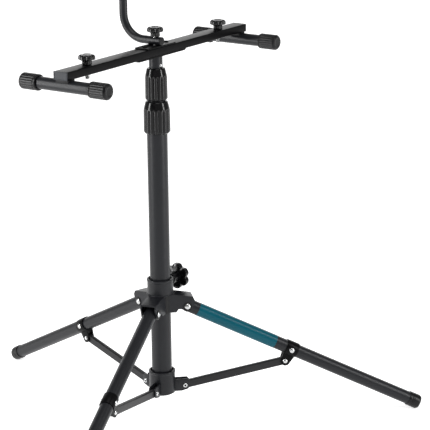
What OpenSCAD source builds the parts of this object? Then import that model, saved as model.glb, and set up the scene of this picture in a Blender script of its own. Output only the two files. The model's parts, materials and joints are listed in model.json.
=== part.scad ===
// Folding tripod work stand: telescoping mast, crossbar with two cross arms, and a hanger arm.
// Millimetres. +Z is up, the origin lies on the floor on the mast axis, +X runs along the crossbar.

/* [Legs] */
// Outside diameter of a leg tube
leg_od = 25; // [20:0.5:30]
// Distance from the hinge pin to the end of the foot cap
leg_len = 510; // [380:5:640]
// Angle of a standing leg below the horizontal, in degrees
leg_angle = 27; // [20:1:38]
// Direction of the first leg about the mast, in degrees
leg_turn = -46; // [-90:1:30]
// Distance of the leg hinge pins from the mast axis
pivot_r = 49; // [46:0.5:56]
// Radius of the hinge rivets
pin_r = 3; // [2.5:0.1:3.5]
// Outside diameter of a foot cap
foot_od = 28; // [27:0.5:34]
// Length of a foot cap
foot_len = 24; // [16:1:40]
// Rounding of the foot cap's end edge
foot_round = 4; // [2:0.5:6]

/* [Braces] */
// Position of the leg clamp along the leg, from the hinge pin
clamp_at = 225; // [200:5:245]
// Length of the leg clamp along the leg
clamp_len = 24; // [18:1:30]
// Wall of the leg clamp
clamp_wall = 1.8; // [1.2:0.1:3]
// Drop of the brace pin below the leg's centre line
ear_drop = 26; // [25:0.5:30]
// Width of a brace
brace_w = 16; // [12:0.5:17]
// Thickness of a brace
brace_t = 8; // [5:0.5:9]
// Gap between a brace and each ear or lug
brace_gap = 0.5; // [0.3:0.1:1]
// Thickness of an ear or lug
lug_t = 2.5; // [2:0.1:4]
// Radius of the brace rivets
brace_pin_r = 2.5; // [2:0.1:3]
// Distance of the lower lug rivets from the mast axis
lug_r = 43; // [41:0.5:48]
// Drop from the leg hinge pins to the lower lug rivets
lug_drop = 160; // [140:1:170]

/* [Mast] */
// Outside diameter of the mast tube
mast_od = 38; // [34:0.5:40]
// Length of the mast tube
mast_len = 520; // [440:5:640]
// Wall of every tube
tube_wall = 1.5; // [1:0.1:2]
// Outside diameter of the middle tube
middle_od = 32; // [30:0.5:33]
// Length of the middle tube
middle_len = 550; // [460:5:560]
// Outside diameter of the inner tube
inner_od = 25; // [22:0.5:26]
// Length of the inner tube
inner_len = 592; // [480:5:600]
// Running clearance of a tube in its bush, on the radius
slide_gap = 0.08; // [0.02:0.01:0.1]

/* [Hub and lower collar] */
// Outside diameter of the hub collar and of the lower collar
collar_od = 49; // [47:0.5:52]
// Wall of both collars
collar_wall = 3; // [2:0.1:3.5]
// Height of the hub collar above the spider
hub_collar_h = 30; // [22:1:40]
// Height of the lower collar
low_collar_h = 44; // [36:1:50]
// Thickness of the spider's sheet
sheet_t = 2.5; // [2:0.1:3]
// Height of the spider's top face above the hinge pins
spider_rise = 25; // [21:0.5:28]
// Gap between a leg and the spider's cheeks
leg_side_gap = 0.5; // [0.3:0.1:1]
// Radius of the curve between two spider arms
spider_fillet = 15; // [8:1:18]
// Drop of a spider arm's top face from the collar to the arm's end
arm_droop = 6.5; // [0:0.5:7]
// Diameter of the hub's star knob
hub_knob_d = 50; // [40:1:54]
// Height of the hub's star knob above the spider
hub_knob_rise = 19; // [15:0.5:20]
// Radius of the hub knob's stud
stud_r = 4; // [3:0.1:5]

/* [Twist collars] */
// Outside diameter of the lower twist collar
low_twist_od = 49; // [47:0.5:52]
// Outside diameter of the upper twist collar
top_twist_od = 41; // [40:0.5:46]
// Height of a twist collar
twist_h = 60; // [48:1:70]
// Number of flutes around a twist collar
flutes = 16; // [10:2:20]

/* [Crossbar] */
// Length of the crossbar tube without its end plugs
bar_len = 544; // [440:5:640]
// Width of the crossbar
bar_w = 30; // [26:0.5:36]
// Height of the crossbar
bar_h = 15; // [12:0.5:20]
// Distance between the centres of the two cross arms
arm_pitch = 522; // [430:2:560]
// Outside diameter of a cross arm
arm_od = 22; // [18:0.5:25]
// Length of a cross arm over its caps
arm_len = 190; // [150:2:240]
// Outside diameter of an arm cap
cap_od = 29; // [27:0.5:32]
// Length of an arm cap
cap_len = 38; // [30:1:50]
// Distance between the two clamp bolts
bolt_pitch = 400; // [340:2:420]
// Radius of a clamp bolt
bolt_r = 4; // [3:0.1:5]
// Length of the clamp bolt below the crossbar
bolt_below = 10; // [6:0.5:20]
// Radius of the relief between the clamp bolt's free end and its nut
relief_r = 3.4; // [2.5:0.1:3.7]
// Diameter of a small star knob
knob_d = 30; // [28:1:40]

/* [Hanger arm] */
// Outside diameter of the hanger tube
hanger_od = 15; // [12:0.5:18]
// Bend radius of the hanger tube's centre line
hanger_bend = 44; // [34:1:50]
// Distance of the upright behind the mast axis
hanger_back = 71; // [60:1:90]
// Height of the hanger's top run above the bottom run
hanger_h = 290; // [200:5:400]
// Angle of the upturned tip, in degrees
tip_angle = 45; // [20:5:60]

/* [Hidden] */
$fn = 64;

// Small shared values
eps = 0.01;            // overshoot of a cut past the face that it opens
pin_gap = 0.08;        // running clearance of a hinge pin, on the radius
seat_gap = 0.3;        // clearance between curved faces of two moving pieces
head_h = 2.5;          // height of a rivet head
washer_t = 1;          // thickness of a washer under a rivet head
leg_r = leg_od / 2;
mast_r = mast_od / 2;
middle_r = middle_od / 2;
inner_r = inner_od / 2;
collar_r = collar_od / 2;
foot_r = foot_od / 2;

// Heights, from the floor upwards. The rounded end edge of the foot caps touches the floor.
pivot_z = (leg_len - foot_round) * sin(leg_angle) + (foot_r - foot_round) * cos(leg_angle) + foot_round;
lug_z = pivot_z - lug_drop;
lug_above = 11;        // height of the lug rivets above the lower collar's bottom
mast_z0 = lug_z - lug_above;
mast_z1 = mast_z0 + mast_len;
spider_z1 = pivot_z + spider_rise;
hub_z1 = spider_z1 + hub_collar_h;
hub_z0 = pivot_z - 10;
twist_lap = 14;        // overlap of a twist collar on the tube below it
low_twist_z = mast_z1 - twist_lap;
low_twist_top = low_twist_z + twist_h;
top_twist_z = low_twist_top + 1.5;
middle_z1 = top_twist_z + twist_lap;
middle_z0 = middle_z1 - middle_len;
top_twist_top = top_twist_z + twist_h;
neck_h = 22;           // inner tube showing between the upper twist collar and the saddle
saddle_z = top_twist_top + neck_h;
inner_z0 = saddle_z - inner_len;

// Spider and lugs
cheek_in = leg_r + leg_side_gap;
cheek_out = cheek_in + sheet_t;
ear_in = brace_t / 2 + brace_gap;
ear_out = ear_in + lug_t;
ear_r = brace_w / 2 + 1;

// Brace, from the ear pin on the leg to the lower lug
ear_x = pivot_r + clamp_at * cos(leg_angle) - ear_drop * sin(leg_angle);
ear_z = pivot_z - clamp_at * sin(leg_angle) - ear_drop * cos(leg_angle);
brace_len = norm([ear_x - lug_r, ear_z - lug_z]);
brace_angle = atan2(ear_z - lug_z, ear_x - lug_r);

// Head
plate_t = 2.5;
bar_z0 = saddle_z + plate_t;
bar_z1 = bar_z0 + bar_h;
bar_wall = 1.5;
cradle_t = 1;
arm_r = arm_od / 2;
arm_z = bar_z0 - cradle_t - arm_r;
cap_r = cap_od / 2;
hanger_r = hanger_od / 2;
hanger_z = bar_z1 + plate_t + hanger_r;
neck_turn = -96;       // direction of the neck rivet about the mast
neck_drop = 17;        // drop of the neck rivet below the saddle
neck_pin_r = 2;
knob_lobes = 6;
knob_stem_r = 9;
knob_stem_h = 8;
knob_head_h = 10;
knob_skin = 3;         // plastic left over the end of a bolt or stud
hub_stem_r = 11;
hub_stem_h = 20;
hub_head_h = 15;
screw_at = 33;         // distance of the plate's screws from the mast axis
screw_r = 2.5;
end_front = 13;        // the hanger's bottom run starts this far in front of the mast axis
tip_bend = 30;
tip_len = 16;
top_run_y = -6;        // y at which the hanger's tip starts to turn up
hub_knob_turn = 48;    // angle of the hub knob from the first leg
hub_knob_z = spider_z1 + hub_knob_rise;
knob_seat = collar_r + 8;
stud_hole_r = stud_r + 0.1;

leg_dirs = [for (i = [0:2]) leg_turn + 120 * i];

// Places its children in a leg's own frame: +X runs down the leg, +Z is its upper side
module on_leg(i) {
    rotate([0, 0, leg_dirs[i]]) translate([pivot_r, 0, pivot_z]) rotate([0, leg_angle, 0]) children();
}

// Places its children at the ear pin of a leg, +X pointing down the brace to the lower lug
module on_brace(i) {
    rotate([0, 0, leg_dirs[i]]) translate([lug_r, 0, lug_z]) rotate([0, -brace_angle, 0]) children();
}

// Places its children on the hub knob's axis, +Z pointing out from the mast
module on_hub_knob() {
    rotate([0, 0, leg_turn + hub_knob_turn]) translate([0, 0, hub_knob_z]) rotate([0, 90, 0]) children();
}

// Places its children on the neck rivet's axis, +Z pointing out from the mast
module on_neck() {
    rotate([0, 0, neck_turn]) translate([0, 0, saddle_z - neck_drop]) rotate([0, 90, 0]) children();
}

module ring(outer, inner, h) {
    difference() {
        cylinder(r = outer, h = h);
        translate([0, 0, -1]) cylinder(r = inner, h = h + 2);
    }
}

// Tube along +Z from z0 to z1
module tube(od, wall, z0, z1) {
    translate([0, 0, z0]) ring(od / 2, od / 2 - wall, z1 - z0);
}

// Domed rivet head on the plane z = 0, pointing along +Z
module rivet_head(r, h) {
    intersection() {
        translate([0, 0, h - (r * r + h * h) / (2 * h)]) sphere(r = (r * r + h * h) / (2 * h));
        cylinder(r = r, h = h);
    }
}

// Rivet along Y through the origin: shank between +-half, and a head at each end
module rivet(shank_r, half, head_r) {
    rotate([90, 0, 0]) translate([0, 0, -half]) cylinder(r = shank_r, h = 2 * half);
    for (side = [-1, 1]) rotate([side * 90, 0, 0]) translate([0, 0, half]) rivet_head(head_r, head_h);
}

// ---- Mast ----

module mast_tube() {
    color([0.2, 0.2, 0.21]) tube(mast_od, tube_wall, mast_z0, mast_z1);
}

module mast_plug() {
    plug_h = 18;
    rim_h = 3;
    color([0.05, 0.05, 0.05]) {
        translate([0, 0, mast_z0 - rim_h]) cylinder(r = mast_r, h = rim_h);
        translate([0, 0, mast_z0]) cylinder(r = mast_r - tube_wall, h = plug_h);
    }
}

// Split nylon collet: a sleeve pressed into the tube below, with a taper that the twist collar squeezes
module collet(tube_r, bore_r, z, top) {
    depth = 30;
    nose = 12;
    color([0.08, 0.08, 0.09]) difference() {
        union() {
            translate([0, 0, z - depth]) cylinder(r = tube_r - tube_wall, h = depth);
            translate([0, 0, z]) cylinder(r = tube_r, h = top - z - nose);
            translate([0, 0, top - nose]) cylinder(r1 = tube_r, r2 = bore_r + 1.2, h = nose);
        }
        translate([0, 0, z - depth - 1]) cylinder(r = bore_r, h = top - z + depth + 2);
    }
}

module mast_collet() {
    collet(mast_r, middle_r + slide_gap, mast_z1, low_twist_top - 8);
}

module middle_collet() {
    collet(middle_r, inner_r + slide_gap, middle_z1, top_twist_top - 8);
}

// Collar tube with a rolled lip at its top
module lipped_collar(z0, z1) {
    lip = 0.8;
    lip_h = 4;
    difference() {
        union() {
            translate([0, 0, z0]) cylinder(r = collar_r, h = z1 - z0);
            translate([0, 0, z1 - lip_h]) cylinder(r = collar_r + lip, h = lip_h);
        }
        translate([0, 0, z0 - 1]) cylinder(r = collar_r - collar_wall, h = z1 - z0 + 2);
    }
}

// Two cheeks that carry a brace's lower end, in the plane of a leg
module lug_pair() {
    reach = ear_r;
    rise = 13;
    for (side = [-1, 1]) {
        translate([0, side * (ear_in + lug_t / 2), 0]) rotate([90, 0, 0])
            linear_extrude(lug_t, center = true) difference() {
                union() {
                    translate([collar_r - 1, mast_z0]) square([lug_r - collar_r + 1, lug_above]);
                    translate([collar_r - 1, lug_z]) square([lug_r - collar_r + 1 + reach, rise]);
                    translate([lug_r, lug_z]) circle(r = reach);
                }
                translate([lug_r, lug_z]) circle(r = brace_pin_r);
            }
    }
}

module lower_collar() {
    color([0.2, 0.2, 0.21]) {
        difference() {
            union() {
                lipped_collar(mast_z0, mast_z0 + low_collar_h);
                for (a = leg_dirs) rotate([0, 0, a]) lug_pair();
            }
            translate([0, 0, mast_z0 - 1]) cylinder(r = collar_r - collar_wall, h = low_collar_h + 2);
        }
    }
}

// Sleeve between the mast and the fixed lower collar
module lower_sleeve() {
    color([0.05, 0.05, 0.05]) translate([0, 0, mast_z0])
        ring(collar_r - collar_wall, mast_r, low_collar_h - 3);
}

// Rivet stubs in the lugs: they end flush with each lug's inner face, so a brace can leave between them
module lower_lug_rivets() {
    head_r = 4.5;
    color([0.8, 0.8, 0.8]) for (a = leg_dirs) rotate([0, 0, a]) translate([lug_r, 0, lug_z]) {
        for (side = [-1, 1]) rotate([side * 90, 0, 0]) {
            translate([0, 0, ear_in]) cylinder(r = brace_pin_r, h = lug_t);
            translate([0, 0, ear_out]) rivet_head(head_r, head_h);
        }
    }
}

// ---- Hub ----

module hub_collar() {
    color([0.2, 0.2, 0.21]) difference() {
        lipped_collar(spider_z1, hub_z1);
        on_hub_knob() cylinder(r = stud_hole_r, h = knob_seat);
    }
}

module hub_bush() {
    color([0.05, 0.05, 0.05]) difference() {
        translate([0, 0, hub_z0]) ring(collar_r - collar_wall, mast_r + slide_gap, hub_z1 - 3 - hub_z0);
        on_hub_knob() cylinder(r = stud_hole_r, h = knob_seat);
    }
}

// Turns a point in the plane about the origin
function turned(a, p) = [p[0] * cos(a) - p[1] * sin(a), p[0] * sin(a) + p[1] * cos(a)];

// Plan of the three spider arms, with a round curve between neighbours
module spider_plan(half, fillet, reach) {
    steps = 10;
    centre = (half + fillet) / sin(60);
    polygon([for (a = leg_dirs) each concat(
        [turned(a, [reach, -half]), turned(a, [reach, half])],
        [for (t = [0:steps]) turned(a + 60, [centre, 0] + fillet * turned(210 - 60 * t / steps, [1, 0]))]
    )]);
}

// Side view of a spider arm: an arched lower edge, a round end about the pin and a bevelled nose
module arm_profile(reach) {
    nose = 4;
    bevel = 7;
    round_r = 10;
    arch = 6;
    polygon([
        [0, hub_z0], [collar_r + 3, hub_z0], [collar_r + 7, hub_z0 + arch], [pivot_r, hub_z0 + arch],
        [pivot_r + 9, pivot_z - 3], [reach, spider_z1 - arm_droop - bevel],
        [reach - nose, spider_z1 - arm_droop + 1], [reach - nose, spider_z1 + 1], [0, spider_z1 + 1]
    ]);
    translate([pivot_r, pivot_z]) circle(r = round_r);
}

// Round body whose top falls away from the collar's foot, for the spider's outside and its inside
module sloped_body(z1, reach) {
    rotate_extrude() polygon([
        [0, hub_z0 - 1], [reach + 20, hub_z0 - 1], [reach + 20, z1 - arm_droop],
        [reach, z1 - arm_droop], [collar_r + 4, z1], [0, z1]
    ]);
}

module hub_spider() {
    reach = pivot_r + 14;
    weld = 1.6;
    color([0.2, 0.2, 0.21]) difference() {
        union() {
            intersection() {
                translate([0, 0, hub_z0]) linear_extrude(spider_z1 - hub_z0)
                    spider_plan(cheek_out, spider_fillet, reach);
                sloped_body(spider_z1, reach);
            }
            translate([0, 0, spider_z1]) rotate_extrude() translate([collar_r, 0])
                polygon([[0, 0], [weld, 0], [0, weld]]);
        }
        intersection() {
            translate([0, 0, hub_z0 - 1]) linear_extrude(spider_z1 - hub_z0)
                spider_plan(cheek_in, spider_fillet + sheet_t, reach + 1);
            sloped_body(spider_z1 - sheet_t, reach);
        }
        for (a = leg_dirs) rotate([0, 0, a]) {
            rotate([90, 0, 0]) linear_extrude(2 * cheek_out + 2, center = true) difference() {
                translate([collar_r + 2, hub_z0 - 1]) square([reach, spider_z1 - hub_z0 + 2]);
                arm_profile(reach);
            }
            translate([pivot_r, 0, pivot_z]) rotate([90, 0, 0])
                cylinder(r = pin_r, h = 4 * cheek_out, center = true);
        }
        translate([0, 0, hub_z0 - 1]) cylinder(r = collar_r - collar_wall, h = spider_z1 - hub_z0 + 3);
    }
}

module hub_washers() {
    washer_r = 8;
    color([0.05, 0.05, 0.05]) for (a = leg_dirs) rotate([0, 0, a]) translate([pivot_r, 0, pivot_z])
        for (side = [-1, 1]) rotate([side * 90, 0, 0]) translate([0, 0, cheek_out])
            ring(washer_r, pin_r, washer_t);
}

module leg_hinge_rivets() {
    color([0.8, 0.8, 0.8]) for (a = leg_dirs) rotate([0, 0, a]) translate([pivot_r, 0, pivot_z])
        rivet(pin_r, cheek_out + washer_t, 5.5);
}

module hub_knob_boss() {
    boss_r = 7;
    color([0.2, 0.2, 0.21]) on_hub_knob() difference() {
        cylinder(r = boss_r, h = knob_seat - 1);
        cylinder(r = stud_hole_r, h = knob_seat);
        rotate([0, 90, 0]) cylinder(r = collar_r, h = 60, center = true);
    }
}

// Star outline: lobes around a core
module star(d, lobes) {
    lobe_r = d * 0.15;
    circle(r = d / 2 - lobe_r);
    for (i = [0:lobes - 1]) rotate(360 / lobes * i) translate([d / 2 - lobe_r, 0]) circle(r = lobe_r);
}

// Star knob on a stem, standing on z = 0 and pointing along +Z
module star_knob(d, stem_r, stem_h, head_h, hole_r) {
    color([0.04, 0.04, 0.04]) difference() {
        union() {
            cylinder(r = stem_r, h = stem_h + 1);
            translate([0, 0, stem_h]) linear_extrude(head_h) star(d, knob_lobes);
        }
        translate([0, 0, -1]) cylinder(r = hole_r, h = stem_h + head_h - knob_skin + 1);
    }
}

module hub_knob() {
    on_hub_knob() translate([0, 0, knob_seat])
        star_knob(hub_knob_d, hub_stem_r, hub_stem_h, hub_head_h, stud_r);
}

// Stud of the hub knob: it presses on the mast through the bush
module hub_knob_stud() {
    start = mast_r + seat_gap;
    color([0.8, 0.8, 0.8]) on_hub_knob() translate([0, 0, start])
        cylinder(r = stud_r, h = knob_seat + hub_stem_h + hub_head_h - knob_skin - start);
}

// ---- Legs ----

// Side view of a leg's end: round about the hinge pin
module leg_end_trim(r, len) {
    rotate([90, 0, 0]) cylinder(r = r, h = 2 * leg_od, center = true);
    translate([0, -leg_od, -leg_od]) cube([len, 2 * leg_od, 2 * leg_od]);
}

module leg_tube(i) {
    color([0.18, 0.18, 0.19]) on_leg(i) difference() {
        intersection() {
            translate([-leg_r, 0, 0]) rotate([0, 90, 0])
                cylinder(r = leg_r, h = leg_r + leg_len - foot_round);
            leg_end_trim(leg_r, leg_len);
        }
        translate([-leg_r - 1, 0, 0]) rotate([0, 90, 0])
            cylinder(r = leg_r - tube_wall, h = leg_len + leg_od);
        rotate([90, 0, 0]) cylinder(r = pin_r + pin_gap, h = 2 * leg_od, center = true);
    }
}

// Nylon insert that keeps the tube round at the hinge pin
module leg_plug(i) {
    plug_len = 22;
    color([0.05, 0.05, 0.05]) on_leg(i) difference() {
        intersection() {
            translate([-leg_r, 0, 0]) rotate([0, 90, 0])
                cylinder(r = leg_r - tube_wall, h = leg_r + plug_len);
            leg_end_trim(leg_r - tube_wall, plug_len);
        }
        rotate([90, 0, 0]) cylinder(r = pin_r + pin_gap, h = 2 * leg_od, center = true);
    }
}

// Strap around the leg with two ears for the brace below it
module leg_clamp(i) {
    outer = leg_r + clamp_wall;
    color([0.1, 0.1, 0.1]) on_leg(i) translate([clamp_at, 0, 0]) difference() {
        union() {
            rotate([0, 90, 0]) cylinder(r = outer, h = clamp_len, center = true);
            for (side = [-1, 1]) translate([0, side * (ear_in + lug_t / 2), 0])
                rotate([90, 0, 0]) linear_extrude(lug_t, center = true) {
                    translate([0, -ear_drop]) circle(r = ear_r);
                    polygon([
                        [-clamp_len / 2, -leg_r + 2], [clamp_len / 2, -leg_r + 2],
                        [ear_r, -ear_drop], [-ear_r, -ear_drop]
                    ]);
                }
        }
        rotate([0, 90, 0]) cylinder(r = leg_r, h = clamp_len + 2, center = true);
        translate([0, 0, -ear_drop]) rotate([90, 0, 0])
            cylinder(r = brace_pin_r, h = 4 * ear_out, center = true);
        rotate([90, 0, 0]) cylinder(r = brace_pin_r, h = 4 * outer, center = true);
    }
}

// The rivet pair that holds the strap on the leg, and the brace's pin between the ears
module leg_rivets(i) {
    head_r = 5;
    outer = leg_r + clamp_wall;
    color([0.8, 0.8, 0.8]) on_leg(i) translate([clamp_at, 0, 0]) {
        for (side = [-1, 1]) rotate([side * 90, 0, 0]) difference() {
            union() {
                translate([0, 0, leg_r - 1]) cylinder(r = brace_pin_r, h = outer - leg_r + 1);
                translate([0, 0, outer]) rivet_head(head_r, head_h);
                translate([0, 0, outer - 0.9]) cylinder(r = head_r, h = 0.9);
            }
            rotate([0, 90, 0]) cylinder(r = outer, h = 4 * head_r, center = true);
        }
        translate([0, 0, -ear_drop]) rivet(brace_pin_r, ear_out, 4.5);
    }
}

module foot_cap(i) {
    color([0.05, 0.05, 0.05]) on_leg(i) translate([leg_len, 0, 0]) rotate([0, -90, 0])
        rotate_extrude() difference() {
            union() {
                translate([0, foot_round]) square([foot_r, foot_len - foot_round]);
                square([foot_r - foot_round, foot_round]);
                translate([foot_r - foot_round, foot_round]) circle(r = foot_round);
            }
            translate([0, foot_round]) square([leg_r, foot_len]);
            translate([-foot_r, -1]) square([foot_r, foot_len + 2]);
        }
}

// Coloured sleeve on the first leg
module leg_band() {
    band_start = 24;
    band_len = 166;
    band_t = 0.3;
    color([0, 0.35, 0.43]) on_leg(0) translate([band_start, 0, 0]) rotate([0, 90, 0])
        ring(leg_r + band_t, leg_r, band_len);
}

// ---- Braces ----

// Flat bar with rounded long edges, from the lower lug to the ear pin
module brace(i) {
    edge = 2.5;
    end_r = brace_w / 2;
    color([0.12, 0.12, 0.12]) on_brace(i) difference() {
        union() {
            rotate([0, 90, 0]) linear_extrude(brace_len) {
                for (z = [-1, 1], y = [-1, 1]) translate([z * (end_r - edge), y * (brace_t / 2 - edge)])
                    circle(r = edge);
                square([brace_w - 2 * edge, brace_t], center = true);
                square([brace_w, brace_t - 2 * edge], center = true);
            }
            for (x = [0, brace_len]) translate([x, 0, 0]) rotate([90, 0, 0])
                cylinder(r = end_r, h = brace_t, center = true);
        }
        translate([brace_len, 0, 0]) rotate([90, 0, 0])
            cylinder(r = brace_pin_r + pin_gap, h = 2 * brace_t, center = true);
        rotate([90, 0, 0]) cylinder(r = brace_pin_r + pin_gap, h = 2 * brace_t, center = true);
    }
}

// ---- Telescoping tubes and twist collars ----

module middle_tube() {
    color([0.2, 0.2, 0.21]) tube(middle_od, tube_wall, middle_z0, middle_z1);
}

// Nylon ring on the foot of a sliding tube, guided by the tube around it
module glide(outer_od, tube_r, z0) {
    glide_h = 25;
    lip = 3;
    color([0.08, 0.08, 0.09]) difference() {
        translate([0, 0, z0 - lip]) cylinder(r = outer_od / 2 - tube_wall - slide_gap, h = glide_h);
        translate([0, 0, z0]) cylinder(r = tube_r, h = glide_h);
        translate([0, 0, z0 - lip - 1]) cylinder(r = tube_r - tube_wall, h = glide_h);
    }
}

module middle_glide() {
    glide(mast_od, middle_r, middle_z0);
}

module inner_glide() {
    glide(middle_od, inner_r + slide_gap, inner_z0 - slide_gap);
}

module inner_tube() {
    color([0.2, 0.2, 0.21]) difference() {
        tube(inner_od, tube_wall, inner_z0, saddle_z);
        on_neck() cylinder(r = neck_pin_r, h = inner_od);
    }
}

// Twist collar: fluted grip with a domed shoulder, bored for the collet inside it
module twist_collar(od, lower_r, upper_r, z, h) {
    r = od / 2;
    dome = 15;
    chamfer = 3;
    groove_r = 2;
    color([0.03, 0.03, 0.03]) translate([0, 0, z]) difference() {
        rotate_extrude() difference() {
            union() {
                polygon([
                    [0, 0], [r - chamfer, 0], [r, chamfer], [r - 0.5, h - dome],
                    [upper_r + 4, h], [0, h]
                ]);
            }
            translate([0, -1]) square([lower_r + slide_gap, twist_lap + 1]);
            translate([0, twist_lap - eps]) square([lower_r + seat_gap, h - dome - twist_lap - 3]);
            translate([0, h - dome - 4]) polygon([
                [0, 0], [lower_r + seat_gap, 0], [lower_r + seat_gap, 1],
                [upper_r + 2.4, dome - 1], [0, dome - 1]
            ]);
            translate([0, -1]) square([upper_r + seat_gap, h + 2]);
        }
        for (k = [0:flutes - 1]) rotate([0, 0, 360 / flutes * (k + 0.5)]) translate([r + 0.9, 0, -1])
            cylinder(r = groove_r, h = h - dome + 3, $fn = 24);
    }
}

module lower_twist_collar() {
    twist_collar(low_twist_od, mast_r, middle_r, low_twist_z, twist_h);
}

module upper_twist_collar() {
    twist_collar(top_twist_od, middle_r, inner_r, top_twist_z, twist_h);
}

// Rivet through the neck, holding the inner tube on the saddle's spigot
module neck_rivet() {
    color([0.8, 0.8, 0.8]) on_neck() {
        translate([0, 0, inner_r - tube_wall - 3]) cylinder(r = neck_pin_r, h = tube_wall + 3);
        difference() {
            translate([0, 0, inner_r - 0.6]) rivet_head(3.5, head_h);
            rotate([0, 90, 0]) cylinder(r = inner_r, h = 20, center = true);
        }
    }
}

// ---- Head ----

// Plate under the crossbar and the spigot that the inner tube stands on
module head_saddle() {
    base_len = 150;
    spigot_h = 30;
    bevel = 5;
    color([0.05, 0.05, 0.05]) difference() {
        union() {
            translate([0, 0, saddle_z]) rotate([90, 0, 0])
                linear_extrude(bar_w, center = true) polygon([
                    [-base_len / 2 + bevel, 0], [base_len / 2 - bevel, 0],
                    [base_len / 2, plate_t], [-base_len / 2, plate_t]
                ]);
            translate([0, 0, saddle_z - spigot_h]) cylinder(r = inner_r - tube_wall, h = spigot_h);
        }
        translate([0, 0, saddle_z - spigot_h - 1]) cylinder(r = 6, h = spigot_h + plate_t + 2);
        on_neck() cylinder(r = neck_pin_r, h = inner_r);
    }
}

// Plate on top of the crossbar, under the hanger tube
module head_plate() {
    plate_len = 84;
    color([0.06, 0.06, 0.06]) difference() {
        translate([-plate_len / 2, -bar_w / 2, bar_z1]) cube([plate_len, bar_w, plate_t]);
        translate([0, 0, bar_z1 - 1]) cylinder(r = bolt_r, h = plate_t + 2);
        for (x = [-1, 1]) translate([x * screw_at, 0, bar_z1 - 1]) cylinder(r = screw_r, h = plate_t + 2);
    }
}

// Screws that hold the plate to the crossbar
module plate_screws() {
    color([0.06, 0.06, 0.06]) for (x = [-1, 1]) translate([x * screw_at, 0, 0]) {
        translate([0, 0, bar_z1 - bar_wall]) cylinder(r = screw_r, h = plate_t + bar_wall);
        translate([0, 0, bar_z1 + plate_t]) rivet_head(4.5, 2.2);
    }
}

module crossbar() {
    color([0.05, 0.05, 0.05]) difference() {
        translate([-bar_len / 2, -bar_w / 2, bar_z0]) cube([bar_len, bar_w, bar_h]);
        translate([-bar_len / 2 - 1, -bar_w / 2 + bar_wall, bar_z0 + bar_wall])
            cube([bar_len + 2, bar_w - 2 * bar_wall, bar_h - 2 * bar_wall]);
        for (x = [-1, 1]) {
            translate([x * bolt_pitch / 2, 0, bar_z0 - 1]) cylinder(r = bolt_r + slide_gap, h = bar_h + 2);
            translate([x * screw_at, 0, bar_z0 + bar_h / 2]) cylinder(r = screw_r, h = bar_h);
        }
        translate([0, 0, bar_z0 - 1]) cylinder(r = bolt_r, h = bar_h + 2);
    }
}

module bar_end_plugs() {
    rim = 2;
    depth = 12;
    color([0.12, 0.13, 0.14]) for (side = [0, 1]) mirror([side, 0, 0]) translate([bar_len / 2, 0, bar_z0]) {
        translate([0, -bar_w / 2, 0]) cube([rim, bar_w, bar_h]);
        translate([-depth, -bar_w / 2 + bar_wall, bar_wall])
            cube([depth, bar_w - 2 * bar_wall, bar_h - 2 * bar_wall]);
    }
}

// Nuts inside the crossbar for the clamp bolts
module bar_nuts() {
    nut_r = 7.5;
    nut_h = 6.5;
    color([0.7, 0.7, 0.7]) for (x = [-1, 1]) translate([x * bolt_pitch / 2, 0, bar_z0 + bar_wall])
        difference() {
            cylinder(r = nut_r, h = nut_h, $fn = 6);
            translate([0, 0, -1]) cylinder(r = bolt_r + slide_gap, h = nut_h + 2);
        }
}

// Cradle blocks between the crossbar and the arms
module arm_cradles() {
    cradle_w = 18;
    cradle_drop = 7;
    color([0.04, 0.04, 0.04]) for (x = [-1, 1]) translate([x * arm_pitch / 2, 0, 0]) difference() {
        translate([-cradle_w / 2, -bar_w / 2 + 1, bar_z0 - cradle_drop])
            cube([cradle_w, bar_w - 2, cradle_drop]);
        translate([0, 0, arm_z]) rotate([90, 0, 0]) cylinder(r = arm_r, h = 2 * bar_w, center = true);
    }
}

module cross_arm(x) {
    inset = 2;
    color([0.16, 0.16, 0.17]) translate([x, 0, arm_z]) rotate([90, 0, 0])
        translate([0, 0, -arm_len / 2 + inset]) ring(arm_r, arm_r - tube_wall, arm_len - 2 * inset);
}

module arm_left() {
    cross_arm(-arm_pitch / 2);
}

module arm_right() {
    cross_arm(arm_pitch / 2);
}

// Rubber caps on both ends of an arm, with a chamfered end and shallow grooves along the grip
module arm_caps(x) {
    grooves = 16;
    chamfer = 3;
    inset = 2;
    color([0.04, 0.04, 0.04]) for (side = [-1, 1]) translate([x, 0, arm_z]) rotate([side * 90, 0, 0])
        translate([0, 0, arm_len / 2 - cap_len]) difference() {
            union() {
                cylinder(r = cap_r, h = cap_len - chamfer);
                translate([0, 0, cap_len - chamfer]) cylinder(r1 = cap_r, r2 = cap_r - chamfer, h = chamfer);
            }
            translate([0, 0, -1]) cylinder(r = arm_r, h = cap_len - inset + 1);
            for (k = [0:grooves - 1]) rotate([0, 0, 360 / grooves * k]) translate([cap_r + 1.2, 0, 5])
                cylinder(r = 2, h = cap_len - 13, $fn = 24);
        }
}

module arm_caps_left() {
    arm_caps(-arm_pitch / 2);
}

module arm_caps_right() {
    arm_caps(arm_pitch / 2);
}

// Small knob whose stem starts at height z
module small_knob(z) {
    translate([0, 0, z]) star_knob(knob_d, knob_stem_r, knob_stem_h, knob_head_h, bolt_r);
}

module clamp_knob(x) {
    translate([x, 0, 0]) small_knob(bar_z1 + seat_gap);
}

// Bolt from its free end under the crossbar up into its knob, relieved where it passes the bar's lower wall
module clamp_bolt(x) {
    relief_below = 0.5;
    end_len = bolt_below - relief_below;
    color([0.75, 0.75, 0.75]) translate([x, 0, bar_z0]) {
        translate([0, 0, -bolt_below]) cylinder(r = bolt_r, h = end_len);
        translate([0, 0, -bolt_below]) cylinder(r = relief_r, h = bolt_below + bar_wall + 1);
        translate([0, 0, bar_wall]) cylinder(r = bolt_r,
            h = bar_h - bar_wall + seat_gap + knob_stem_h + knob_head_h - knob_skin);
    }
}

module knob_left() {
    clamp_knob(-bolt_pitch / 2);
}

module knob_right() {
    clamp_knob(bolt_pitch / 2);
}

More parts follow.
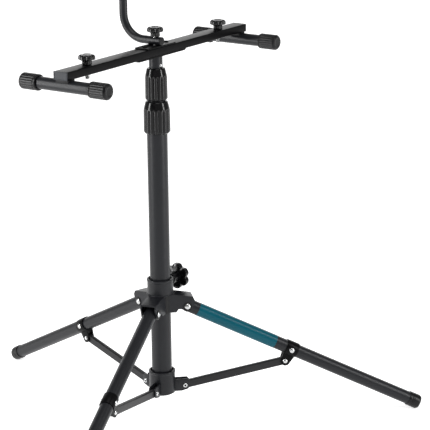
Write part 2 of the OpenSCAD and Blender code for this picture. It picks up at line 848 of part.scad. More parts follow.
module bolt_left() {
    clamp_bolt(-bolt_pitch / 2);
}

module bolt_right() {
    clamp_bolt(bolt_pitch / 2);
}

// ---- Hanger arm ----

// Bent stretch of the hanger tube in the XY plane, about the origin
module tube_bend(bend, angle, seam = 0) {
    rotate_extrude(angle = angle) translate([bend, 0]) rotate(seam) difference() {
        circle(r = hanger_r);
        circle(r = hanger_r - tube_wall);
    }
}

// Straight stretch of the hanger tube along +Z. The seam turns its faces to meet those of its neighbours.
module tube_run(len, seam) {
    rotate([0, 0, seam]) ring(hanger_r, hanger_r - tube_wall, len);
}

// The hanger is drawn about the foot of its bottom run and lifted to its height in one step
module hanger_tube() {
    corner_y = hanger_back - hanger_bend;
    color([0.16, 0.16, 0.17]) translate([0, 0, hanger_z]) {
        difference() {
            translate([0, -end_front, 0]) rotate([-90, 0, 0]) tube_run(corner_y + end_front, 90);
            translate([0, 0, -hanger_od]) cylinder(r = bolt_r + slide_gap, h = 2 * hanger_od);
        }
        translate([0, corner_y, hanger_bend]) rotate([0, 90, 0]) tube_bend(hanger_bend, 90);
        translate([0, hanger_back, hanger_bend]) tube_run(hanger_h - 2 * hanger_bend, 90);
        translate([0, corner_y, hanger_h - hanger_bend]) rotate([0, 90, 0]) rotate([0, 0, 90])
            tube_bend(hanger_bend, 90);
        translate([0, top_run_y, hanger_h]) rotate([-90, 0, 0]) tube_run(corner_y - top_run_y, -90);
        translate([0, top_run_y, hanger_h + tip_bend]) rotate([0, 90, 0]) rotate([0, 0, -tip_angle])
            tube_bend(tip_bend, tip_angle, 180);
        translate([0, top_run_y, hanger_h + tip_bend]) rotate([-tip_angle, 0, 0]) translate([0, 0, -tip_bend])
            rotate([90, 0, 0]) tube_run(tip_len, 90);
    }
}

// Plugs in both ends of the hanger tube
module hanger_caps() {
    rim = 2;
    depth = 7;
    color([0.04, 0.04, 0.04]) translate([0, 0, hanger_z]) {
        translate([0, -end_front, 0]) rotate([90, 0, 0]) {
            cylinder(r = hanger_r, h = rim);
            translate([0, 0, -depth]) cylinder(r = hanger_r - tube_wall, h = depth);
        }
        translate([0, top_run_y, hanger_h + tip_bend]) rotate([-tip_angle, 0, 0])
            translate([0, -tip_len, -tip_bend]) rotate([90, 0, 0]) {
                cylinder(r = hanger_r, h = rim);
                translate([0, 0, -depth]) cylinder(r = hanger_r - tube_wall, h = depth);
            }
    }
}

module hanger_knob() {
    small_knob(hanger_z + hanger_r + seat_gap);
}

// Bolt of the hanger knob, screwed through the tube and the plate into the crossbar
module hanger_bolt() {
    z0 = bar_z0 + bar_wall;
    color([0.75, 0.75, 0.75]) translate([0, 0, z0])
        cylinder(r = bolt_r - slide_gap,
            h = hanger_z + hanger_r + seat_gap + knob_stem_h + knob_head_h - knob_skin - z0);
}

mast_tube();
mast_plug();
mast_collet();
lower_collar();
lower_sleeve();
lower_lug_rivets();
hub_collar();
hub_bush();
hub_spider();
hub_washers();
leg_hinge_rivets();
hub_knob_boss();
hub_knob();
hub_knob_stud();
for (i = [0:2]) {
    leg_tube(i);
    leg_plug(i);
    leg_clamp(i);
    leg_rivets(i);
    foot_cap(i);
    brace(i);
}
leg_band();
middle_tube();
middle_glide();
middle_collet();
lower_twist_collar();
upper_twist_collar();
inner_glide();
inner_tube();
neck_rivet();
head_saddle();
head_plate();
plate_screws();
crossbar();
bar_end_plugs();
bar_nuts();
arm_cradles();
arm_left();
arm_right();
arm_caps_left();
arm_caps_right();
knob_left();
knob_right();
bolt_left();
bolt_right();
hanger_tube();
hanger_caps();
hanger_knob();
hanger_bolt();
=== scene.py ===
# %% [markdown]
# # A folding tripod work stand
# Three tube legs carry a telescoping mast. On top sit a crossbar with two capped cross arms
# and a bent hanger arm. The engineering model already has every part at its real size and
# place, so this script only dresses it: it gives the parts their finish, and it models anew
# the pieces whose charm is in a rounded edge, a rib or a rolled lip.

import json
import math

import bmesh
import bpy
from mathutils import Matrix, Vector


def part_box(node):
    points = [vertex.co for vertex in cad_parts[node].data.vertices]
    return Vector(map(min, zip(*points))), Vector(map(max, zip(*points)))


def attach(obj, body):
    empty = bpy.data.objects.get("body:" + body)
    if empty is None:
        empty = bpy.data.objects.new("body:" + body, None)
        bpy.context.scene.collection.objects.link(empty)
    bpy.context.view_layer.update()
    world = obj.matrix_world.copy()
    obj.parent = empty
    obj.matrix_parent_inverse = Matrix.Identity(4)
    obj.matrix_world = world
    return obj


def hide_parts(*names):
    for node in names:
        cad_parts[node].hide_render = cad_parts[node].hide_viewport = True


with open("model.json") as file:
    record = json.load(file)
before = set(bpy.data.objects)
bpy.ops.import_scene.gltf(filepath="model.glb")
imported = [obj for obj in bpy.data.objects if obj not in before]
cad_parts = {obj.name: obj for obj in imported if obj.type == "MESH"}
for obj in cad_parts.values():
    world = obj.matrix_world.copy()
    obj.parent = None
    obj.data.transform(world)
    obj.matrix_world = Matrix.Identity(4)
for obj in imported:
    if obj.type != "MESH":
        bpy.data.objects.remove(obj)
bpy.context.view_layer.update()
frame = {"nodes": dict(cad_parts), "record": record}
record = frame["record"]
joints = {joint["name"]: joint for joint in record["behaviour"]["joints"]}
body_of = {node: body for body, nodes in record["behaviour"]["bodies"].items() for node in nodes}
slot_of = {part["node"]: part["material_slot"] for part in record["subparts"]}

# %% [markdown]
# ## Camera
# The stand is tall and thin, so a long lens from a few metres away keeps its uprights
# parallel. The camera looks down at it a little and is turned very slightly about its own
# axis. A direction and a distance are easier to read than nine matrix numbers, so the
# rotation is built from a heading, a pitch and that small roll.

# %% Aim the camera
eye = Vector((-2.7728, -2.0541, 1.3929))
heading = math.radians(34.8)
pitch = math.radians(15.77)
roll = math.radians(0.71)
lens = 161.5
forward = math.cos(pitch)
sight = Vector((math.cos(heading) * forward, math.sin(heading) * forward, -math.sin(pitch)))
level = sight.cross(Vector((0, 0, 1))).normalized()
upright = level.cross(sight)
camera_right = level * math.cos(roll) - upright * math.sin(roll)
camera_up = level * math.sin(roll) + upright * math.cos(roll)
camera = bpy.data.objects.new("camera", bpy.data.cameras.new("camera"))
camera.data.lens = lens
camera.data.sensor_width = 36
camera.data.clip_end = 30
camera.matrix_world = (
    Matrix.Translation(eye) @ Matrix((camera_right, camera_up, -sight)).transposed().to_4x4()
)
bpy.context.collection.objects.link(camera)
bpy.context.scene.camera = camera
print("camera at", [round(x, 3) for x in eye])

# %% [markdown]
# ## Light and floor
# Dark paint shows its form by what it mirrors. Two tall soft boxes, one on each side, draw
# a pale stripe down both flanks of every tube and leave the middle dark. A third light
# from above lifts the top faces, and a wide panel far behind the stand is what the
# crossbar's top face mirrors. A dim sky fills the rest. The floor is white paper that
# glows a little, so it stays white far away from the lights and still takes the contact
# shadows.

# %% Light the set
world = bpy.data.worlds.new("studio")
world.use_nodes = True
world.node_tree.nodes["Background"].inputs["Color"].default_value = (1.0, 1.0, 1.0, 1)
world.node_tree.nodes["Background"].inputs["Strength"].default_value = 0.3
bpy.context.scene.world = world
bpy.context.scene.view_settings.view_transform = "Standard"


def soft_box(name, turn, height, distance, width, tall, power):
    """A rectangular light that faces the mast, turn degrees to the right of the camera."""
    aim = Vector((0, 0, 0.5))
    way = -(sight * Vector((1, 1, 0))).normalized()
    way.rotate(Matrix.Rotation(math.radians(turn), 3, "Z"))
    lamp = bpy.data.objects.new(name, bpy.data.lights.new(name, "AREA"))
    lamp.data.shape = "RECTANGLE"
    lamp.data.size = width
    lamp.data.size_y = tall
    lamp.data.energy = power
    lamp.location = way * distance + Vector((0, 0, height))
    lamp.rotation_euler = (aim - lamp.location).to_track_quat("-Z", "Y").to_euler()
    bpy.context.collection.objects.link(lamp)


soft_box("left_box", turn=-72, height=1.1, distance=2.4, width=0.4, tall=2.2, power=52)
soft_box("right_box", turn=68, height=1.1, distance=2.4, width=0.34, tall=2.2, power=40)
soft_box("top_box", turn=20, height=3.4, distance=0.9, width=1.6, tall=1.6, power=34)
soft_box("back_box", turn=180, height=2.3, distance=6.0, width=9.0, tall=3.4, power=150)
print("lights", len(bpy.data.lights))

# %% Lay the floor
floor_reach = 30
floor_mesh = bpy.data.meshes.new("floor")
floor_bm = bmesh.new()
bmesh.ops.create_grid(floor_bm, x_segments=1, y_segments=1, size=floor_reach)
floor_bm.to_mesh(floor_mesh)
floor_bm.free()
floor = bpy.data.objects.new("floor", floor_mesh)
paper = bpy.data.materials.new("floor_paper")
paper.use_nodes = True
paper_shader = paper.node_tree.nodes["Principled BSDF"]
paper_shader.inputs["Base Color"].default_value = (0.93, 0.93, 0.93, 1)
paper_shader.inputs["Roughness"].default_value = 0.9
paper_shader.inputs["Emission Color"].default_value = (1.0, 1.0, 1.0, 1)
paper_shader.inputs["Emission Strength"].default_value = 0.6
floor.data.materials.append(paper)
bpy.context.collection.objects.link(floor)
print("floor, m across", 2 * floor_reach)

# %% [markdown]
# ## Finishes
# The stand has few materials: powder coat on the tubes, smoother black paint on the bar,
# gloss black nylon on the grips, duller rubber on the caps, grey plastic in the bar's
# ends, bright zinc on the rivets and one teal sleeve. Each is made from the same two
# ideas. A slow noise drifts the tone. A fine one varies the gloss and pushes the surface
# up and down, as the real grain does. Both read object coordinates, which are metres
# here, so a scale of 900 makes a grain of about a millimetre.

# %% A recipe for one finish
def finish(
    name, tone, pale_tone, gloss, grain_scale, grain_height, drift_scale=14.0, metallic=0.0, mirror=0.5
):
    """A material from its darkest and palest colour, its two roughnesses and its grain.

    mirror is how strongly the paint reflects, where 0.5 is plain plastic.
    """
    material = bpy.data.materials.new(name)
    material.use_nodes = True
    tree = material.node_tree
    shader = tree.nodes["Principled BSDF"]
    shader.inputs["Metallic"].default_value = metallic
    shader.inputs["Specular IOR Level"].default_value = mirror
    place = tree.nodes.new("ShaderNodeTexCoord")

    drift = tree.nodes.new("ShaderNodeTexNoise")
    drift.inputs["Scale"].default_value = drift_scale
    drift.inputs["Detail"].default_value = 6
    tree.links.new(place.outputs["Object"], drift.inputs["Vector"])

    tones = tree.nodes.new("ShaderNodeValToRGB")
    tones.color_ramp.elements[0].position = 0.3
    tones.color_ramp.elements[0].color = (*tone, 1)
    tones.color_ramp.elements[1].position = 0.7
    tones.color_ramp.elements[1].color = (*pale_tone, 1)
    tree.links.new(drift.outputs["Fac"], tones.inputs["Fac"])
    tree.links.new(tones.outputs["Color"], shader.inputs["Base Color"])

    grain = tree.nodes.new("ShaderNodeTexNoise")
    grain.inputs["Scale"].default_value = grain_scale
    grain.inputs["Detail"].default_value = 3
    tree.links.new(place.outputs["Object"], grain.inputs["Vector"])

    shine = tree.nodes.new("ShaderNodeMapRange")
    shine.inputs["To Min"].default_value = gloss[0]
    shine.inputs["To Max"].default_value = gloss[1]
    tree.links.new(grain.outputs["Fac"], shine.inputs["Value"])
    tree.links.new(shine.outputs["Result"], shader.inputs["Roughness"])

    bump = tree.nodes.new("ShaderNodeBump")
    bump.inputs["Strength"].default_value = 0.6
    bump.inputs["Distance"].default_value = grain_height
    tree.links.new(grain.outputs["Fac"], bump.inputs["Height"])
    tree.links.new(bump.outputs["Normal"], shader.inputs["Normal"])
    return material


# %% The stand's finishes
powder_coat = finish(
    "powder_coat", (0.007, 0.0075, 0.0092), (0.0095, 0.0102, 0.0125), (0.3, 0.42), 900, 0.0001, mirror=0.24
)
black_coat = finish(
    "black_coat", (0.0012, 0.0012, 0.0014), (0.0022, 0.0022, 0.0026), (0.3, 0.42), 900, 0.0001, mirror=0.07
)
brace_coat = finish(
    "brace_coat", (0.008, 0.0082, 0.009), (0.012, 0.0122, 0.0135), (0.38, 0.52), 700, 0.00014, mirror=0.26
)
gloss_nylon = finish(
    "gloss_nylon", (0.0015, 0.0015, 0.0018), (0.003, 0.003, 0.0034), (0.12, 0.18), 260, 0.00001, mirror=0.28
)
dull_nylon = finish(
    "dull_nylon", (0.003, 0.003, 0.0034), (0.005, 0.005, 0.0055), (0.4, 0.55), 500, 0.0001, mirror=0.2
)
grip_rubber = finish(
    "grip_rubber", (0.002, 0.002, 0.0023), (0.004, 0.004, 0.0044), (0.26, 0.36), 600, 0.00008, mirror=0.22
)
zinc_plate = finish(
    "zinc_plate", (0.44, 0.45, 0.46), (0.58, 0.58, 0.57), (0.16, 0.3), 1500, 0.00003,
    drift_scale=60, metallic=1.0,
)
teal_print = finish(
    "teal_print", (0.0, 0.064, 0.09), (0.0, 0.074, 0.104), (0.24, 0.34), 900, 0.00005, mirror=0.16
)
grey_plastic = finish(
    "grey_plastic", (0.015, 0.0175, 0.022), (0.021, 0.0235, 0.029), (0.42, 0.55), 700, 0.0001, mirror=0.3
)
print("finishes", len(bpy.data.materials))

# %% [markdown]
# ## Helpers for modelling
# Every new piece is modelled in millimetres, because that is how such parts are drawn,
# and shrunk to metres when it is done. Round parts come from a half outline that is spun
# about the axis. A list of corner points with a rounding radius for each is a short way
# to write that outline, and the rounding is where the highlights sit.

# %% Outlines with rounded corners
def rounded(corners, steps=5):
    """Turns (x, y) or (x, y, reach) corners into points, each corner cut back by reach and curved."""
    points = []
    for index, corner in enumerate(corners):
        here = Vector(corner[:2])
        reach = corner[2] if len(corner) > 2 else 0
        if not reach:
            points.append(here)
            continue
        before = Vector(corners[index - 1][:2])
        after = Vector(corners[(index + 1) % len(corners)][:2])
        start = here + (before - here).normalized() * reach
        end = here + (after - here).normalized() * reach
        for step in range(steps + 1):
            t = step / steps
            points.append(start * (1 - t) ** 2 + here * 2 * t * (1 - t) + end * t**2)
    return points


print("points round one corner", len(rounded([(0, 0), (10, 0, 2), (10, 10)])) - 2)

# %% Lathe work
def lathe(corners, steps=96, closed=False):
    """Spins a half outline, given as (radius, height), about +Z."""
    bm = bmesh.new()
    verts = [bm.verts.new((point.x, 0, point.y)) for point in rounded(corners)]
    pairs = list(zip(verts, verts[1:]))
    if closed:
        pairs.append((verts[-1], verts[0]))
    edges = [bm.edges.new(pair) for pair in pairs]
    bmesh.ops.spin(
        bm, geom=verts + edges, axis=(0, 0, 1), cent=(0, 0, 0), angle=math.tau, steps=steps, use_merge=True
    )
    bmesh.ops.remove_doubles(bm, verts=bm.verts, dist=1e-4)
    bmesh.ops.recalc_face_normals(bm, faces=bm.faces)
    return bm


# %% Finished pieces
def joined(parts):
    """One bmesh from several (bmesh, matrix) pairs."""
    whole = bmesh.new()
    for bm, place in parts:
        part = bmesh.new()
        held = bpy.data.meshes.new("held")
        bm.to_mesh(held)
        part.from_mesh(held)
        bmesh.ops.transform(part, matrix=place, verts=part.verts)
        if place.determinant() < 0:
            bmesh.ops.reverse_faces(part, faces=part.faces)
        part.to_mesh(held)
        whole.from_mesh(held)
        part.free()
        bpy.data.meshes.remove(held)
    return whole


def make_piece(name, bm, body, material, stands_for=(), place=Matrix(), smooth=35):
    """A finished object from a bmesh in millimetres."""
    bmesh.ops.transform(bm, matrix=Matrix.Scale(0.001, 4) @ place, verts=bm.verts)
    mesh = bpy.data.meshes.new(name)
    bm.to_mesh(mesh)
    bm.free()
    mesh.polygons.foreach_set("use_smooth", [True] * len(mesh.polygons))
    mesh.set_sharp_from_angle(angle=math.radians(smooth))
    mesh.materials.append(material)
    piece = bpy.data.objects.new(name, mesh)
    bpy.context.collection.objects.link(piece)
    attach(piece, body)
    if stands_for:
        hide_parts(*stands_for)


# %% [markdown]
# ## Shapes taken from the engineering model
# Where the engineering shape is already right, its mesh is copied. It comes as loose
# triangles, so its points are merged and the triangles of each flat face are made one
# face. Only then can an edge be rounded with a bevel.

# %% Copies with soft edges
def node_shape(node):
    """A merged copy of a CAD node's mesh, in millimetres, with its flat faces made whole."""
    bm = bmesh.new()
    bm.from_mesh(frame["nodes"][node].data)
    bmesh.ops.transform(bm, matrix=Matrix.Scale(1000, 4), verts=bm.verts)
    bmesh.ops.remove_doubles(bm, verts=bm.verts, dist=0.002)
    bmesh.ops.dissolve_limit(bm, angle_limit=math.radians(0.6), verts=bm.verts, edges=bm.edges)
    return bm


def round_edges(bm, width, sharper_than=40, steps=3, chosen=lambda edge: True):
    """Rounds the edges that turn by more than an angle."""
    sharp = [
        edge
        for edge in bm.edges
        if edge.is_manifold and edge.calc_face_angle(0) > math.radians(sharper_than) and chosen(edge)
    ]
    bmesh.ops.bevel(
        bm, geom=sharp, offset=width, offset_type="OFFSET", segments=steps, profile=0.5,
        affect="EDGES", material=-1, clamp_overlap=True,
    )


def dress(node, material, edge=0.0):
    """The CAD shape itself with smooth shading, and with its edges rounded where edge is given."""
    bm = node_shape(node)
    if edge:
        round_edges(bm, edge)
    make_piece(f"{node}_skin", bm, body_of[node], material, (node,))


def box_mm(node):
    """The lowest and highest corner of a CAD node in millimetres."""
    low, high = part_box(node)
    return low * 1000, high * 1000


print("crossbar length, mm", round(box_mm("crossbar")[1].x - box_mm("crossbar")[0].x, 1))

# %% [markdown]
# ## Tubes
# The tubes are right as they come. They only need shading that runs smoothly round them,
# so each is copied, its loose triangles are merged, and its creases stay where the
# surface truly turns a corner.

# %% Dress the tubes
for node in ("mast_tube", "middle_tube", "inner_tube", "arm_left", "arm_right", "hanger_tube"):
    dress(node, powder_coat)
for number in (1, 2, 3):
    dress(f"leg_tube_{number}", powder_coat)
dress("leg_band", teal_print)
dress("mast_plug", dull_nylon, 0.6)
print("mast tube radius, mm", round(box_mm("mast_tube")[1].x, 2))

# %% [markdown]
# ## Twist collars
# Each telescope joint is tightened by a fluted nylon collar: a plain sloping shoulder
# above, long ribs below. A lathe gives the body. The ribs come from pushing its outer
# points inwards by a wave that runs round the collar, which keeps one clean surface where
# cut grooves would leave slivers. The wave is a sharp valley between two round humps, so
# each rib is a rounded bar with a dark line on both sides.

# %% Grooves pressed by a wave
def smooth_step(x):
    """0 below 0, 1 above 1, and an even curve between."""
    x = min(max(x, 0.0), 1.0)
    return x * x * (3 - 2 * x)


def flute(bm, count, depth, low, high, fade, outside, narrow):
    """Presses count grooves into what lies outside a radius, from height low to height high.

    They fade in and out over fade millimetres. A larger narrow makes a slimmer groove.
    """
    for vert in bm.verts:
        radius = vert.co.xy.length
        if radius < outside:
            continue
        turn = math.atan2(vert.co.y, vert.co.x)
        wave = (1 - abs(math.sin(count * turn / 2))) ** narrow
        along = min(smooth_step((vert.co.z - low) / fade + 1), smooth_step((high - vert.co.z) / fade))
        vert.co.xy *= 1 - depth * wave * along / radius


print("smooth step at a quarter", smooth_step(0.25))

# %% Fluted collars
rib_count = 16
steps_per_rib = 12
shoulder = 15
taper = 0.4


def twist_collar(node, tube_radius, top_radius):
    """A fluted collar around a tube of tube_radius, closing to top_radius at its top."""
    low, high = box_mm(node)
    outer = (high.x - low.x) / 2
    tall = high.z - low.z
    levels = 14
    grip_top = tall - shoulder
    rises = [level / levels for level in range(1, levels)]
    grip = [(outer - taper * rise, 3 + (grip_top - 3) * rise) for rise in rises]
    bm = lathe(
        [(tube_radius + 0.15, 0), (outer - 2.6, 0, 0.7), (outer, 2.6, 1.2)]
        + grip
        + [
            (outer - 0.5, grip_top, 2.5),
            (outer - 1.2, grip_top + 3, 1.2),
            (top_radius + 4.2, tall - 0.6, 1.5),
            (top_radius + 0.3, tall, 0.8),
            (top_radius + 0.3, grip_top),
            (tube_radius + 0.15, grip_top - 6),
        ],
        steps=rib_count * steps_per_rib,
        closed=True,
    )
    flute(bm, rib_count, 1.9, 0, grip_top + 1.5, fade=4, outside=outer - 3.2, narrow=1.6)
    make_piece(
        f"{node}_grip", bm, body_of[node], gloss_nylon, (node,),
        Matrix.Translation((0, 0, low.z)), smooth=55,
    )


mast_radius = box_mm("mast_tube")[1].x
middle_radius = box_mm("middle_tube")[1].x
inner_radius = box_mm("inner_tube")[1].x
twist_collar("lower_twist_collar", mast_radius, middle_radius)
twist_collar("upper_twist_collar", middle_radius, inner_radius)
print("collar ribs", rib_count)

# %% [markdown]
# ## Hub and lower collar
# Both are short pieces of heavier tube with a rolled lip at the top, and the lip is what
# catches the light. They are turned again with that lip as a true curve. The hub's collar
# is welded to the pressed spider, so a ring of bead with a slight ripple goes round its foot.

# %% Rolled collars and the weld
collar_radius = 24.5
collar_wall = 3.0


def rolled_collar(low, high):
    """A collar tube between two heights with a rolled lip on top and a soft lower edge."""
    inner = collar_radius - collar_wall
    return lathe(
        [
            (inner, low, 0.5),
            (collar_radius, low, 0.8),
            (collar_radius, high - 5.2, 0.6),
            (collar_radius + 0.8, high - 4.2, 0.6),
            (collar_radius + 0.8, high, 1.4),
            (inner + 0.6, high, 1.1),
            (inner, high - 2.4, 0.8),
        ],
        steps=128,
        closed=True,
    )


hub_low, hub_high = box_mm("hub_collar")
make_piece(
    "hub_collar_rolled", rolled_collar(hub_low.z, hub_high.z), "hub", powder_coat,
    ("hub_collar",), smooth=50,
)
bead = lathe(
    [
        (collar_radius - 0.4, 0), (collar_radius + 1.9, 0, 0.9),
        (collar_radius + 1.3, 1.5, 0.7), (collar_radius - 0.4, 2.0),
    ],
    steps=240,
    closed=True,
)
flute(bead, 80, 0.14, -1, 3, fade=0.5, outside=collar_radius + 0.2, narrow=1.0)
make_piece(
    "hub_weld_bead", bead, "hub", powder_coat, (),
    Matrix.Translation((0, 0, hub_low.z)), smooth=60,
)
print("hub collar height, mm", round(hub_high.z - hub_low.z, 1))

# %% The pressed spider
spider = node_shape("hub_spider")


def on_rim(edge):
    """True for the outline of the sloping top, where it turns down into the sheet's sides."""
    uprights = [face for face in edge.link_faces if abs(face.normal.z) < 0.2]
    tops = [face for face in edge.link_faces if face.normal.z > 0.8]
    outside = all(vert.co.xy.length > collar_radius + 2 for vert in edge.verts)
    return outside and len(uprights) == 1 and len(tops) == 1


round_edges(spider, 1.8, steps=4, chosen=on_rim)
print("spider faces", len(spider.faces))
make_piece(
    "hub_spider_pressed", spider, "hub", powder_coat, ("hub_spider",), smooth=40
)

# %% The lower collar and its lugs
lower_low, lower_high = box_mm("lower_collar")
lug_radius = 43.0
lug_round = 9.0
lug_thick = 2.5
lug_inner_gap = 4.5
rivet_radius = 4.5
lug_height = box_mm("lower_lug_rivets")[0].z + rivet_radius
lug_top = lug_height + 13
lug_foot = lower_low.z + 0.3


def lug_cheek():
    """One sheet cheek in the plane of a leg, standing on X and Z, with a round nose and soft edges."""
    bm = bmesh.new()
    nose = [
        (lug_radius + lug_round * math.cos(turn), lug_height + lug_round * math.sin(turn))
        for turn in (math.radians(-90 + 15 * step) for step in range(7))
    ]
    outline = [(collar_radius - 1, lug_foot), (lug_radius - 6, lug_foot)] + nose
    outline += [(lug_radius + lug_round, lug_height + 9), (lug_radius + lug_round - 4, lug_top)]
    outline += [(collar_radius - 1, lug_top)]
    verts = [bm.verts.new((x, lug_inner_gap, z)) for x, z in outline]
    face = bm.faces.new(verts)
    pushed = bmesh.ops.extrude_face_region(bm, geom=[face])
    moved = [item for item in pushed["geom"] if isinstance(item, bmesh.types.BMVert)]
    bmesh.ops.translate(bm, vec=(0, lug_thick, 0), verts=moved)
    bmesh.ops.recalc_face_normals(bm, faces=bm.faces)
    round_edges(bm, 0.5, sharper_than=60, steps=2)
    return bm


leg_headings = []
for number in (1, 2, 3):
    pin = Vector(joints[f"leg_{number}_fold"]["pos_m"])
    leg_headings.append(math.atan2(pin.y, pin.x))
cheek = lug_cheek()
sides = [Matrix(), Matrix.Scale(-1, 4, (0, 1, 0))]
parts = [(rolled_collar(lower_low.z, lower_high.z), Matrix())]
parts += [(cheek, Matrix.Rotation(turn, 4, "Z") @ side) for turn in leg_headings for side in sides]
make_piece(
    "lower_collar_rolled", joined(parts), "mast", powder_coat,
    ("lower_collar",), smooth=45,
)
print("leg headings, degrees", [round(math.degrees(turn)) for turn in leg_headings])

# %% [markdown]
# ## Rivets
# The brace rivets at the lower collar are tubular: their rolled ends show as bright rings
# with a dark hole, so one ring is turned and copied to both cheeks of every lug. The other
# rivets have plain heads, and the ones at the leg hinges sit on black washers.

# %% Ring rivets
ring_head = lathe(
    [
        (1.2, -0.4), (2.5, -0.4), (rivet_radius, 0, 0.3), (4.4, 1.1, 0.9),
        (2.9, 1.9, 0.9), (1.7, 1.2, 0.6), (1.4, 0.2),
    ],
    steps=40,
    closed=True,
)


def on_lug(turn, side):
    """The place of a rivet head on the left or right cheek of the lug that looks along turn."""
    return (
        Matrix.Rotation(turn, 4, "Z")
        @ Matrix.Translation((lug_radius, side * (lug_inner_gap + lug_thick), lug_height))
        @ Matrix.Rotation(-side * math.pi / 2, 4, "X")
    )


ring_parts = [(ring_head, on_lug(turn, side)) for turn in leg_headings for side in (-1, 1)]
make_piece(
    "lower_lug_ring_rivets", joined(ring_parts), "mast", zinc_plate,
    ("lower_lug_rivets",), smooth=60,
)
print("ring rivets", len(ring_parts))

# %% Plain rivets, washers, clamps and braces
dress("leg_hinge_rivets", zinc_plate)
dress("hub_washers", dull_nylon)
for number in (1, 2, 3):
    dress(f"leg_rivets_{number}", zinc_plate)
    dress(f"leg_clamp_{number}", black_coat, 0.35)
    dress(f"brace_{number}", brace_coat)
dress("neck_rivet", zinc_plate)
dress("hub_knob_boss", powder_coat, 0.8)
dress("hub_knob_stud", zinc_plate)

# %% [markdown]
# ## Star knobs
# The hub is locked with a six-lobed star knob and the crossbar has three smaller ones on
# ribbed stems. A knob is a lathe shape whose radius is then scaled by a wave round the
# axis: full at a lobe, less between two. Scaling fades towards the middle, so the face
# stays round there.

# %% Knobs
knob_lobes = 6
valley_narrow = 2.2


def star(bm, lobes, depth, core, rim, low):
    """Draws the surface above low in between its lobes; the effect grows from core to rim."""
    for vert in bm.verts:
        radius = vert.co.xy.length
        if vert.co.z < low or radius < 1e-6:
            continue
        turn = math.atan2(vert.co.y, vert.co.x)
        wave = (0.5 - 0.5 * math.cos(lobes * turn)) ** valley_narrow
        vert.co.xy *= 1 - depth * wave * smooth_step((radius - core) / (rim - core)) / radius


def star_knob(rim, stem, stem_tall, cap_tall, depth, stem_ribs):
    """A knob that stands on z = 0. rim and stem are radii, depth is how far its valleys go in."""
    top = stem_tall + cap_tall
    bm = lathe(
        [
            (0, 0),
            (stem, 0, 0.6),
            (stem, stem_tall * 0.5),
            (stem, stem_tall - 0.6, 0.5),
            (rim * 0.8, stem_tall, 1.0),
            (rim, stem_tall + 1.2, 1.0),
            (rim, stem_tall + cap_tall * 0.45),
            (rim, top - cap_tall * 0.3, cap_tall * 0.22),
            (rim * 0.78, top - 0.4, 1.6),
            (rim * 0.45, top, 1.2),
            (rim * 0.38, top - 1.0, 0.4),
            (0, top - 1.0),
        ],
        steps=knob_lobes * 24,
    )
    star(bm, knob_lobes, depth, rim * 0.35, rim, stem_tall - 0.7)
    if stem_ribs:
        flute(bm, stem_ribs, 0.5, 0, stem_tall - 0.5, fade=0.8, outside=stem * 0.8, narrow=1.0)
    return bm


# %% The hub's knob and the three on the bar
hub_knob_joint = joints["hub_knob_turn"]
hub_axis = Vector(hub_knob_joint["axis"])
hub_knob_turn = math.atan2(hub_axis.y, hub_axis.x)
hub_knob_height = hub_knob_joint["pos_m"][2] * 1000
knob_seat = collar_radius + 8
hub_star = star_knob(rim=25, stem=11, stem_tall=20, cap_tall=15, depth=4.6, stem_ribs=0)
make_piece(
    "hub_star_knob", hub_star, "hub_knob", gloss_nylon, ("hub_knob",),
    Matrix.Rotation(hub_knob_turn, 4, "Z") @ Matrix.Translation((knob_seat, 0, hub_knob_height))
    @ Matrix.Rotation(math.pi / 2, 4, "Y"),
    smooth=50,
)
for node in ("knob_left", "knob_right", "hanger_knob"):
    low, high = box_mm(node)
    small_star = star_knob(rim=15, stem=8.6, stem_tall=8, cap_tall=10, depth=2.6, stem_ribs=18)
    make_piece(
        f"{node}_star", small_star, body_of[node], gloss_nylon, (node,),
        Matrix.Translation(((low.x + high.x) / 2, (low.y + high.y) / 2, low.z)), smooth=50,
    )
    print(node, "seat height, mm", round(low.z, 1))

# %% [markdown]
# ## Bolts
# The clamp bolts show a short threaded end below the crossbar. A thread this fine reads
# well as a stack of ridges, so the lathe outline steps in and out once per millimetre and
# a quarter.

# %% Threaded bolts
def threaded_bolt(node):
    """A bolt as long as its CAD node, with ridges on its lower end."""
    low, high = box_mm(node)
    radius = (high.x - low.x) / 2
    ridge = 1.25
    ridges = 8
    corners = [(0, 0), (radius - 0.9, 0), (radius - 0.5, 0.4)]
    for step in range(ridges):
        corners += [(radius, 0.6 + step * ridge), (radius - 0.55, 0.6 + (step + 0.5) * ridge)]
    corners += [(radius, 0.6 + ridges * ridge), (radius, high.z - low.z), (0, high.z - low.z)]
    centre = (low + high) / 2
    make_piece(
        f"{node}_thread", lathe(corners, 40), body_of[node], zinc_plate, (node,),
        Matrix.Translation((centre.x, centre.y, low.z)), smooth=25,
    )


for node in ("bolt_left", "bolt_right"):
    threaded_bolt(node)
dress("hanger_bolt", zinc_plate)
print("bolt length, mm", round(box_mm("bolt_left")[1].z - box_mm("bolt_left")[0].z, 1))

# %% [markdown]
# ## Head
# A box-section crossbar lies on a saddle plate, with a second plate screwed on top of it.
# Sheet and box section have small outside radii, and these draw the thin pale lines along
# the bar, so every long edge is rounded. The bar's ends are closed by plugs with a raised rim.

# %% Crossbar
bar_low, bar_high = box_mm("crossbar")


def rounded_box(low, high, width, steps=4, along=None):
    """A box between two corners. Its edges are rounded, or only those that run along one axis."""
    bm = bmesh.new()
    bmesh.ops.create_cube(bm, size=1)
    bmesh.ops.scale(bm, vec=high - low, verts=bm.verts)
    bmesh.ops.translate(bm, vec=(low + high) / 2, verts=bm.verts)
    chosen = [
        edge
        for edge in bm.edges
        if along is None or abs((edge.verts[0].co - edge.verts[1].co).normalized()[along]) > 0.9
    ]
    bmesh.ops.bevel(
        bm, geom=chosen, offset=width, offset_type="OFFSET", segments=steps, profile=0.5,
        affect="EDGES", material=-1, clamp_overlap=True,
    )
    return bm


